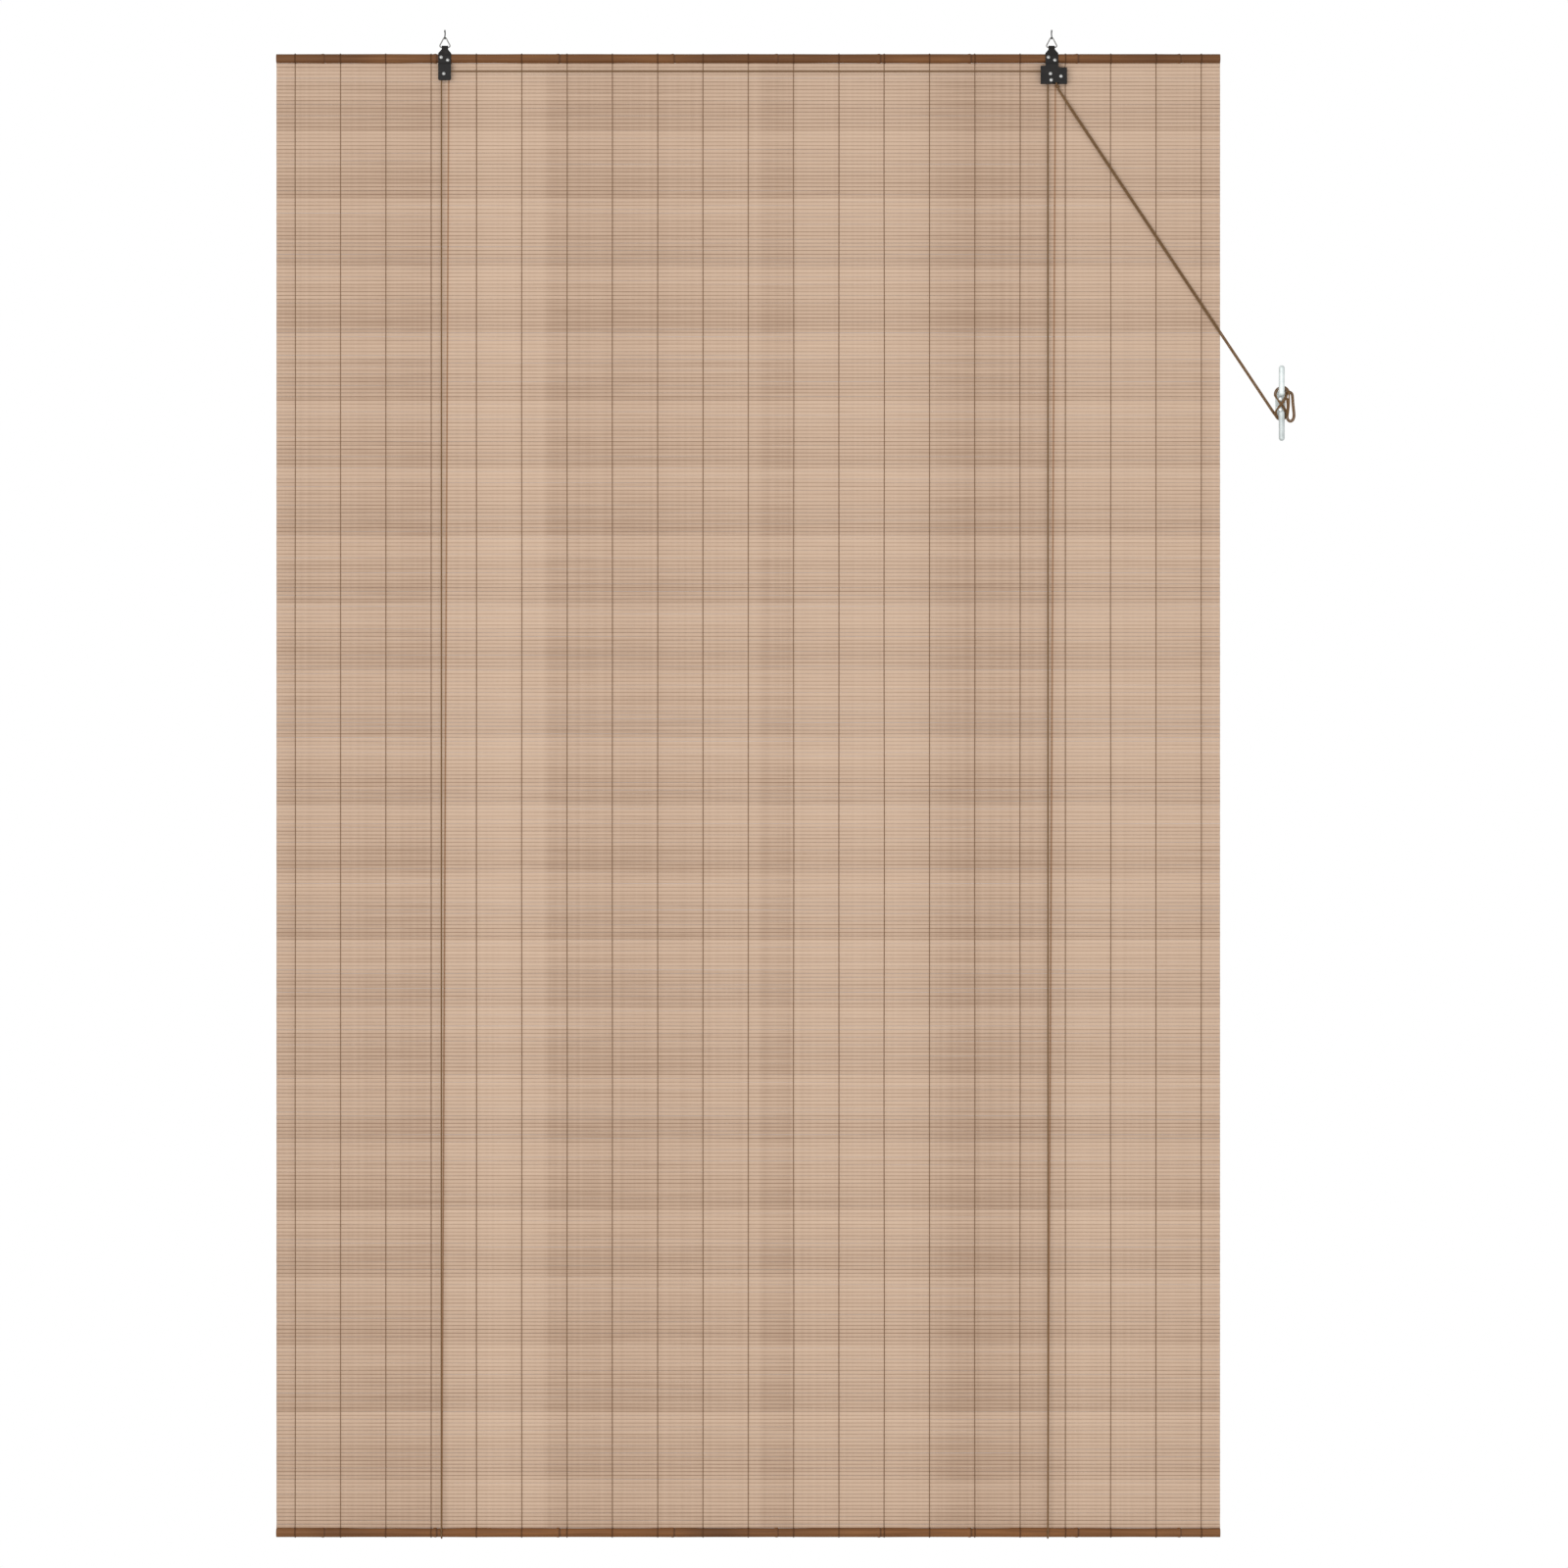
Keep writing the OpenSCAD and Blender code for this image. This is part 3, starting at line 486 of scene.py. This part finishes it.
def make_slats():
    """Single slats, each with its own thickness, height, tone, end and slight wave, and painted shade along
    its edges.
    """
    parts = Parts()
    half_t = (mat_hi.y - mat_lo.y) / 2
    middle_y = (mat_hi.y + mat_lo.y) / 2
    across = [mat_lo.x + blind_w * i / SLAT_SPANS for i in range(SLAT_SPANS + 1)]
    across = [across[0], across[0] + END_SPAN] + across[1:-1] + [across[-1] - END_SPAN, across[-1]]
    for i in range(SLAT_COUNT):
        z = mat_lo.z + (i + 0.5) * pitch
        depth = (mat_hi.z - z) / TONE_REPEAT % 1.0
        fall = min(1.0, max(0.0, (depth - FALL_FROM) / FALL_LEN))
        tone = TOP_TONE - TONE_FALL * fall + rng.uniform(*TONES)
        thickness = half_t * rng.uniform(*THICKNESSES)
        section = slat_section(thickness, pitch / 2 - rng.uniform(*EDGE_GAPS) * MM)
        wave = rng.uniform(*WAVES)
        shift = rng.uniform(*STARTS)
        set_back = rng.uniform(*SET_BACKS) * MM
        end = rng.uniform(*ENDS) * MM
        rings, tones = [], []
        for x in across:
            x = max(mat_lo.x + end, min(mat_hi.x - end, x))
            lift = SLAT_WAVE * math.sin(wave * x + shift)
            rings.append([(x, middle_y + set_back + y, z + lift + h) for y, h in section])
            # Painted shade on the edge points, as in the joints between slats, stronger where the tone falls
            tones.extend(tone - edge * (EDGE_SHADE + EDGE_SHADE_FALL * fall) for edge in SHADED_EDGES)
        parts.rings(rings, tone=tones)
    slats = parts.piece("slats", slats_mat)
    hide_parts("slat_mat")
    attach(slats, "blind")
    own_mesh(slats)


make_slats()

# Canes

CANE_SIDES = 28
CANE_STEP = 7 * MM
CANE_EDGE = 0.4 * MM
HOLLOW_R = 3.7 * MM
HOLLOW_LEN = 55 * MM
CORE_R = 0.2 * MM
# The wall lies this far inside the nominal radius, and rises and falls about it
WALL_IN = 0.1 * MM
# Long and short waves of the wall: height, and radians to a metre
LONG_WAVE = (0.08 * MM, 23)
SHORT_WAVE = (0.05 * MM, 61)
# Growth rings as shares of half the length, their rise, and the groove and the dark line beside each
RING_SHARES = [-0.901, -0.663, -0.403, -0.16, 0.06, 0.277, 0.469, 0.696, 0.913]
RING_RISE = 0.62 * MM
RING_HALF = 2.0 * MM
RING_STEP = 0.6 * MM
RING_STEPS = 12
GROOVE_DEPTH = 0.22 * MM
GROOVE_OFF = 3.2 * MM
GROOVE_HALF = 0.9 * MM
DARK_OFF = 2.4 * MM
DARK_HALF = 1.8 * MM
# Darker stretches of both canes in metres: middle, half length, depth of the stain
STAINS = [(-0.66, 0.17, 0.5), (-0.04, 0.06, 0.75), (0.06, 0.15, 0.5), (0.66, 0.13, 0.5)]


def make_cane(name, node, z, body, seed, overall_dark):
    """Cane turned about X: hollow ends, swollen growth rings and a slightly uneven wall.

    The last argument is how dark the whole cane is, from 0 to 1.
    """
    swing = random.Random(seed).uniform(0, 6.3)
    half = blind_w / 2
    rings_x = [share * half for share in RING_SHARES]
    fine = [x + step * RING_STEP for x in rings_x for step in range(-RING_STEPS, RING_STEPS + 1)]
    coarse = [-half + i * CANE_STEP for i in range(1, round(2 * half / CANE_STEP))]
    wall, wall_tones = [], []
    for x in sorted(set([CANE_EDGE - half, half - CANE_EDGE] + fine + coarse)):
        swell = sum(RING_RISE * bell(x, r, RING_HALF) - GROOVE_DEPTH * bell(x, r + GROOVE_OFF, GROOVE_HALF)
                    for r in rings_x)
        long_wave = LONG_WAVE[0] * math.sin(x * LONG_WAVE[1] + swing)
        short_wave = SHORT_WAVE[0] * math.sin(x * SHORT_WAVE[1] + 2 * swing)
        wall.append((x, CANE_R - WALL_IN + swell + long_wave + short_wave))
        dark = max([bell(x, r + DARK_OFF, DARK_HALF) for r in rings_x]
                   + [depth * bell(x, middle, half_len) for middle, half_len, depth in STAINS])
        wall_tones.append(overall_dark + (1 - overall_dark) * dark)
    end = [(HOLLOW_LEN, CORE_R), (HOLLOW_LEN, HOLLOW_R), (0, HOLLOW_R), (0, CANE_R - CANE_EDGE)]
    # Painted shade on the cut ends: darker from the rim inwards and darkest in the hollows
    hollow_shade_tones = [1.0, 1.0, 0.8, 0.5]
    outline = [(inset - half, r) for inset, r in end] + wall + [(half - inset, r) for inset, r in end[::-1]]
    turn = [2 * math.pi * k / CANE_SIDES for k in range(CANE_SIDES)]
    rings = [[(x, r * math.sin(a), z + r * math.cos(a)) for a in turn] for x, r in outline]
    tones = hollow_shade_tones + wall_tones + hollow_shade_tones[::-1]
    parts = Parts()
    parts.rings(rings, tone=[tone for tone in tones for _ in turn])
    cane = parts.piece(name, cane_mat)
    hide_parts(node)
    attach(cane, body)


make_cane("head_cane", "top_rail", HEAD_Z, "blind", 3, 0.38)
make_cane("foot_cane", "bottom_rail", FOOT_Z, "foot", 5, 0.0)

# Threads

THREAD_R = 0.62 * MM
THREAD_SIDES = 4
# How far a thread strays to the sides, in millimetres, and its wave in radians to a metre
THREAD_STRAYS = (-0.3, 0.3)
THREAD_WAVE = 9
# Shares of its radius by which a thread stands off the mat and dips into the joints
STAND_OFF = 0.4
DIP = 0.3
TURN_R = 0.42 * MM
TURN_SIDES = 6
WRAP_R = CANE_R + 0.45 * MM
WRAP_STEPS = 36
# Angle between the mat and the start of a turn, in degrees
WRAP_FROM = 6
# The two strands of a turn, how far they lean in one turn, and how near a cord they are left out
STRANDS = (-0.36 * MM, 0.36 * MM)
WRAP_LEAN = 0.3 * MM
CORD_CLEAR = 3.5 * MM


def make_warp(name, y, proud, points_per_slat):
    """Threads on one face of the mat; with two points to a slat they dip into the joints."""
    parts = Parts()
    steps = SLAT_COUNT * points_per_slat
    for x in warp_x:
        stray = rng.uniform(*THREAD_STRAYS) * MM
        path = []
        for i in range(steps + 1):
            z = mat_lo.z + mat_h * i / steps
            dip = math.cos(2 * math.pi * i / points_per_slat) if points_per_slat > 1 else 0.0
            path.append((x + stray * math.sin(z * THREAD_WAVE), y + proud * (STAND_OFF - DIP * dip), z))
        parts.tube(path, THREAD_R, THREAD_SIDES)
    warp = parts.piece(name, thread_mat)
    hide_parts("warp_threads")
    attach(warp, "blind")
    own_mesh(warp)


def make_turns(name, node, z, mat_side, body, cords_x=()):
    """Two strands of thread around the cane at each warp thread that is clear of the cords."""
    parts = Parts()
    for x in warp_x:
        if any(abs(x - cord_x) < CORD_CLEAR for cord_x in cords_x):
            continue
        for strand in STRANDS:
            path = []
            for k in range(WRAP_STEPS + 1):
                a = math.radians(WRAP_FROM + (360 - 2 * WRAP_FROM) * k / WRAP_STEPS)
                lean = WRAP_LEAN * (k / WRAP_STEPS - 0.5)
                path.append((x + strand + lean, WRAP_R * math.sin(a), z + mat_side * WRAP_R * math.cos(a)))
            parts.tube(path, TURN_R, TURN_SIDES)
    turns = parts.piece(name, turns_mat)
    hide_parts(node)
    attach(turns, body)


make_warp("front_warp", mat_lo.y, -THREAD_R, 2)
make_warp("rear_warp", mat_hi.y, THREAD_R, 1)
make_turns("head_turns", "top_thread_turns", HEAD_Z, -1, "blind")
make_turns("foot_turns", "bottom_thread_turns", FOOT_Z, 1, "foot", (LEFT_CORD_X, RIGHT_CORD_X))

# Cords

CORD_SIDES = 10
LOOP_R = 8.2 * MM
LOOP_STEPS = 24
TIE_Y = 5.6 * MM
PULLEY_Z = -64.4 * MM
PITCH_R = 3.6 * MM
LEFT_PULLEY_X = -451.2 * MM
LOCK_PULLEY_X = 447.8 * MM
LEFT_CORD_Y = -6.5 * MM
RIGHT_CORD_Y = -3.4 * MM
# Angle at which both cords leave the lock pulley for the knot, in degrees
LEAVE_ANGLE = 20.6
KNOT_TOP = Vector((457.8 * MM, (LEFT_CORD_Y + RIGHT_CORD_Y) / 2, -80.8 * MM))
KNOT_DIR = Vector((math.sin(math.radians(LEAVE_ANGLE)), 0, -math.cos(math.radians(LEAVE_ANGLE))))
KNOT_LEN = 5 * MM
KNOT_TURNS = 2.6
KNOT_STEPS = 60
# Where the turns start and end along the knot, their radius, their cord's, and that of the core in them
KNOT_FROM = 0.9 * MM
KNOT_TO = KNOT_LEN - 0.7 * MM
KNOT_R = 1.75 * MM
KNOT_CORD_R = 0.95 * MM
KNOT_CORE_R = 1.5 * MM
KNOT_SIDES = 8
# Distance of both cords from the knot's middle
KNOT_PAIR = Vector((0, 1.15 * MM, 0))


def cord_piece(name, path, body, node):
    parts = Parts()
    parts.tube(path, CORD_R, CORD_SIDES)
    piece = parts.piece(name, cord_mat)
    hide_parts(node)
    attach(piece, body)
    return piece


def make_lift_cord(side, node, x, front_y, tie_x):
    """Front and rear run of a lift cord, at full length; on the blind both shorten as the foot cane rises.
    """
    runs = [("front", (x, front_y, PULLEY_Z), (x, -LOOP_R, FOOT_Z)),
            ("rear", (tie_x, TIE_Y, TIE_Z), (x, LOOP_R, FOOT_Z))]
    for place, top, foot in runs:
        run = cord_piece(f"{side}_{place}_run", straight(top, foot, 120), "blind", node)
        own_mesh(run)


def make_loop(side, node, x):
    """Loop of a lift cord under the foot cane."""
    angles = [math.pi * (1 + k / LOOP_STEPS) for k in range(LOOP_STEPS + 1)]
    path = [(x, LOOP_R * math.cos(a), FOOT_Z + LOOP_R * math.sin(a)) for a in angles]
    cord_piece(f"{side}_loop", path, "foot", node)


def make_top_cords():
    """Cross cord and lock cord, from the pulleys to the knot below the lock."""
    over_left = arc(LEFT_PULLEY_X, LEFT_CORD_Y, PULLEY_Z, PITCH_R, 180, 90, 10)
    over_lock = arc(LOCK_PULLEY_X, LEFT_CORD_Y, PULLEY_Z, PITCH_R, 90, LEAVE_ANGLE, 8)
    between = straight(over_left[-1], over_lock[0], 40)[1:-1]
    cord_piece("cross_run", over_left + between + over_lock + [KNOT_TOP - KNOT_PAIR], "blind", "cross_cord")
    right_over = arc(LOCK_PULLEY_X, RIGHT_CORD_Y, PULLEY_Z, PITCH_R, 180, LEAVE_ANGLE, 16)
    cord_piece("lock_run", right_over + [KNOT_TOP + KNOT_PAIR], "blind", "lock_cord")


def make_joining_knot():
    """Tight turns of cord around the cords that it joins."""
    across = Vector((KNOT_DIR.z, 0, -KNOT_DIR.x))
    forward = Vector((0, 1, 0))
    path = []
    for k in range(KNOT_STEPS + 1):
        a = 2 * math.pi * KNOT_TURNS * k / KNOT_STEPS
        along = KNOT_DIR * (KNOT_FROM + (KNOT_TO - KNOT_FROM) * k / KNOT_STEPS)
        path.append(KNOT_TOP + along + KNOT_R * (across * math.cos(a) + forward * math.sin(a)))
    parts = Parts()
    parts.tube(path, KNOT_CORD_R, KNOT_SIDES)
    parts.tube(straight(KNOT_TOP, KNOT_TOP + KNOT_DIR * KNOT_LEN, 4), KNOT_CORE_R, KNOT_SIDES)
    knot = parts.piece("barrel_knot", cord_mat)
    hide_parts("joining_knot")
    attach(knot, "blind")


make_lift_cord("left", "left_lift_cord", LEFT_CORD_X, LEFT_CORD_Y, LEFT_TIE_X)
make_lift_cord("right", "right_lift_cord", RIGHT_CORD_X, RIGHT_CORD_Y, RIGHT_TIE_X)
make_loop("left", "left_cord_loop", LEFT_CORD_X)
make_loop("right", "right_cord_loop", RIGHT_CORD_X)
make_top_cords()
make_joining_knot()

# Pull cord

# Turns on the cleat in millimetres from the cleat's centre, as in the part's source
CLEAT_TURNS = [
    (-9.8, -1, -12.7), (-5, -1, -18.6), (-2, -1.1, -20.9), (1.6, -1.2, -21), (4.8, -1.5, -18.9),
    (6, -1.9, -15.2), (5.2, -2.2, -10.4), (1.8, -2.4, -4.6), (-2.2, -2.6, 1.6), (-5.8, -2.8, 7.4),
    (-7.4, -3, 12.6), (-6.6, -3.1, 17.4), (-3.6, -3.3, 21.2), (0.8, -3.4, 22.2), (4.8, -3.7, 20),
    (6.8, -4.1, 15.8), (6, -4.5, 10.6), (2.8, -5, 4.8), (-1.2, -5.3, -1), (-5, -5.2, -6.6),
    (-7.2, -4.9, -12), (-6.8, -4.6, -17), (-4, -4.4, -21), (0, -4.4, -22.4), (4.2, -4.6, -20.6),
    (7, -5, -16.4), (8.6, -5.5, -10), (8.8, -6, -2), (8, -6.5, 6), (7.6, -6.8, 10.6),
    (8.8, -7, 14.2), (11.5, -7.2, 15.6), (14.2, -7.2, 14.2), (15.4, -7.1, 10.6), (16, -6.8, 2),
    (17, -6.4, -8), (17.8, -6.2, -16), (17.5, -6.2, -20.4), (16, -6.2, -23.8), (13.6, -6.2, -25.2),
    (11.2, -6.3, -23.8), (9.9, -6.8, -20.2), (10.6, -7.4, -13), (11.6, -8, -3), (11.6, -9.2, 7),
    (10.6, -9.8, 14.4), (8, -9, 19.4), (4.6, -7.6, 22.4), (1, -6.9, 23.4), (-2.2, -6.7, 23.4)]
KNOT_CLEAR = 0.4 * MM
# Distance between the middles of both cords
CORD_STEP = 2 * CORD_R + 0.05 * MM
# The cord rides the blind up to the edge of the mat and the wall at the cleat, and bends between them
BEND = 0.05
# Points on either side over which the second cord changes sides, and over which it leaves the knot
CHANGE = 6
SPREAD = 3


def beside(route):
    """Route of a second cord that lies against the first one.

    It is outside the first one's bends and passes in front of it from one side to the other.
    """
    p = np.array([tuple(q) for q in route])
    along = np.gradient(p, axis=0)
    along /= np.linalg.norm(along, axis=1)[:, None]
    across = np.cross(along, (0.0, 1.0, 0.0))
    across /= np.linalg.norm(across, axis=1)[:, None]
    turning = (np.gradient(along, axis=0) * across).sum(1)
    bends = np.flatnonzero(abs(turning) > BEND)
    bend_before = bends[np.clip(np.searchsorted(bends, np.arange(len(p)), "right") - 1, 0, None)]
    side = np.pad(-np.sign(turning[bend_before]), CHANGE, "edge")
    window = 2 * CHANGE + 1
    side = np.convolve(side, np.ones(window) / window, "valid")[:, None]
    front = np.sqrt(np.maximum(0, 1 - side ** 2)) * (0.0, -1.0, 0.0)
    spread = np.clip(0.5 + 0.5 * np.arange(len(p)) / SPREAD, 0, 1)[:, None]
    return [Vector(q) for q in p + CORD_STEP * spread * (side * across + front)]


def make_pull_cord(name, route):
    parts = Parts()
    parts.tube(route, CORD_R, CORD_SIDES)
    pull = parts.piece(name, cord_mat)
    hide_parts("pull_cord")
    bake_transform(pull)


exit_at = KNOT_TOP + KNOT_DIR * (KNOT_LEN + KNOT_CLEAR)
cleat_turns = [CLEAT_AT + Vector(p) * MM for p in CLEAT_TURNS]
pull_route = straight(exit_at, cleat_turns[0], 40)[:-1] + smooth_route(cleat_turns, 5)
make_pull_cord("first_pull_cord", pull_route)
make_pull_cord("second_pull_cord", beside(pull_route))

# Camera, lights, background and floor

# Width of the photograph at the blind, and the point in its middle
FRAME_W = 2.326
VIEW_MIDDLE = Vector((0.053, 0, -1.117))
CAMERA_BACK = 8.0
# Strength of the white background as a light
WORLD_LIGHT = 0.68
FLOOR_Z = -2.5
FLOOR_RX = 1.15
FLOOR_RY = 1.0
FLOOR_SIDES = 96


def make_camera():
    """Camera straight in front, with a lens that frames the photograph."""
    camera = bpy.data.objects.new("camera", bpy.data.cameras.new("camera"))
    bpy.context.scene.collection.objects.link(camera)
    camera.location = VIEW_MIDDLE + Vector((0, -CAMERA_BACK, 0))
    camera.rotation_euler = (math.radians(90), 0, 0)
    camera.data.lens = camera.data.sensor_width * CAMERA_BACK / FRAME_W
    bpy.context.scene.camera = camera


def area_light(name, place, aim, size, watts):
    lamp = bpy.data.lights.new(name, "AREA")
    lamp.size, lamp.energy = size, watts
    obj = bpy.data.objects.new(name, lamp)
    bpy.context.scene.collection.objects.link(obj)
    obj.location = place
    obj.rotation_euler = (Vector(aim) - Vector(place)).to_track_quat("-Z", "Y").to_euler()


def white_world():
    """Plain white to the camera, to mirrors and through glass; softer as a light."""
    world = bpy.data.worlds.new("studio")
    bpy.context.scene.world = world
    world.use_nodes = True
    tree = world.node_tree
    background = tree.nodes["Background"]
    background.inputs["Color"].default_value = (1, 1, 1, 1)
    path = tree.nodes.new("ShaderNodeLightPath")
    seen = path.outputs["Is Camera Ray"]
    for ray in ("Is Glossy Ray", "Is Transmission Ray"):
        either = tree.nodes.new("ShaderNodeMath")
        either.operation = "MAXIMUM"
        tree.links.new(seen, either.inputs[0])
        tree.links.new(path.outputs[ray], either.inputs[1])
        seen = either.outputs["Value"]
    level = tree.nodes.new("ShaderNodeMapRange")
    level.inputs["To Min"].default_value = WORLD_LIGHT
    level.inputs["To Max"].default_value = 1.0
    tree.links.new(seen, level.inputs["Value"])
    tree.links.new(level.outputs["Result"], background.inputs["Strength"])


def make_floor():
    """Pale round floor below the blind, out of the photograph's frame."""
    s = Shader("pale_floor", Specular_IOR_Level=0.1)
    cloud = s.noise((2, 2, 2), 2)
    s.colour(s.ramp(cloud, (0.3, srgb(232, 232, 230)), (0.7, srgb(240, 240, 238))))
    s.roughness(cloud, 0.8, 0.9)
    angles = [2 * math.pi * k / FLOOR_SIDES for k in range(FLOOR_SIDES)]
    ring = [(FLOOR_RX * math.cos(a), FLOOR_RY * math.sin(a), FLOOR_Z) for a in angles]
    floor = mesh_piece("floor", ring, [tuple(range(FLOOR_SIDES))], s.material)


make_camera()
area_light("key", (-1.8, -4.4, -0.5), (0, 0, -1.1), 3.4, 110)
area_light("fill", (2.6, -4.0, -1.7), (0, 0, -1.2), 3.0, 50)
white_world()
make_floor()

bpy.context.scene.view_settings.view_transform = "Standard"
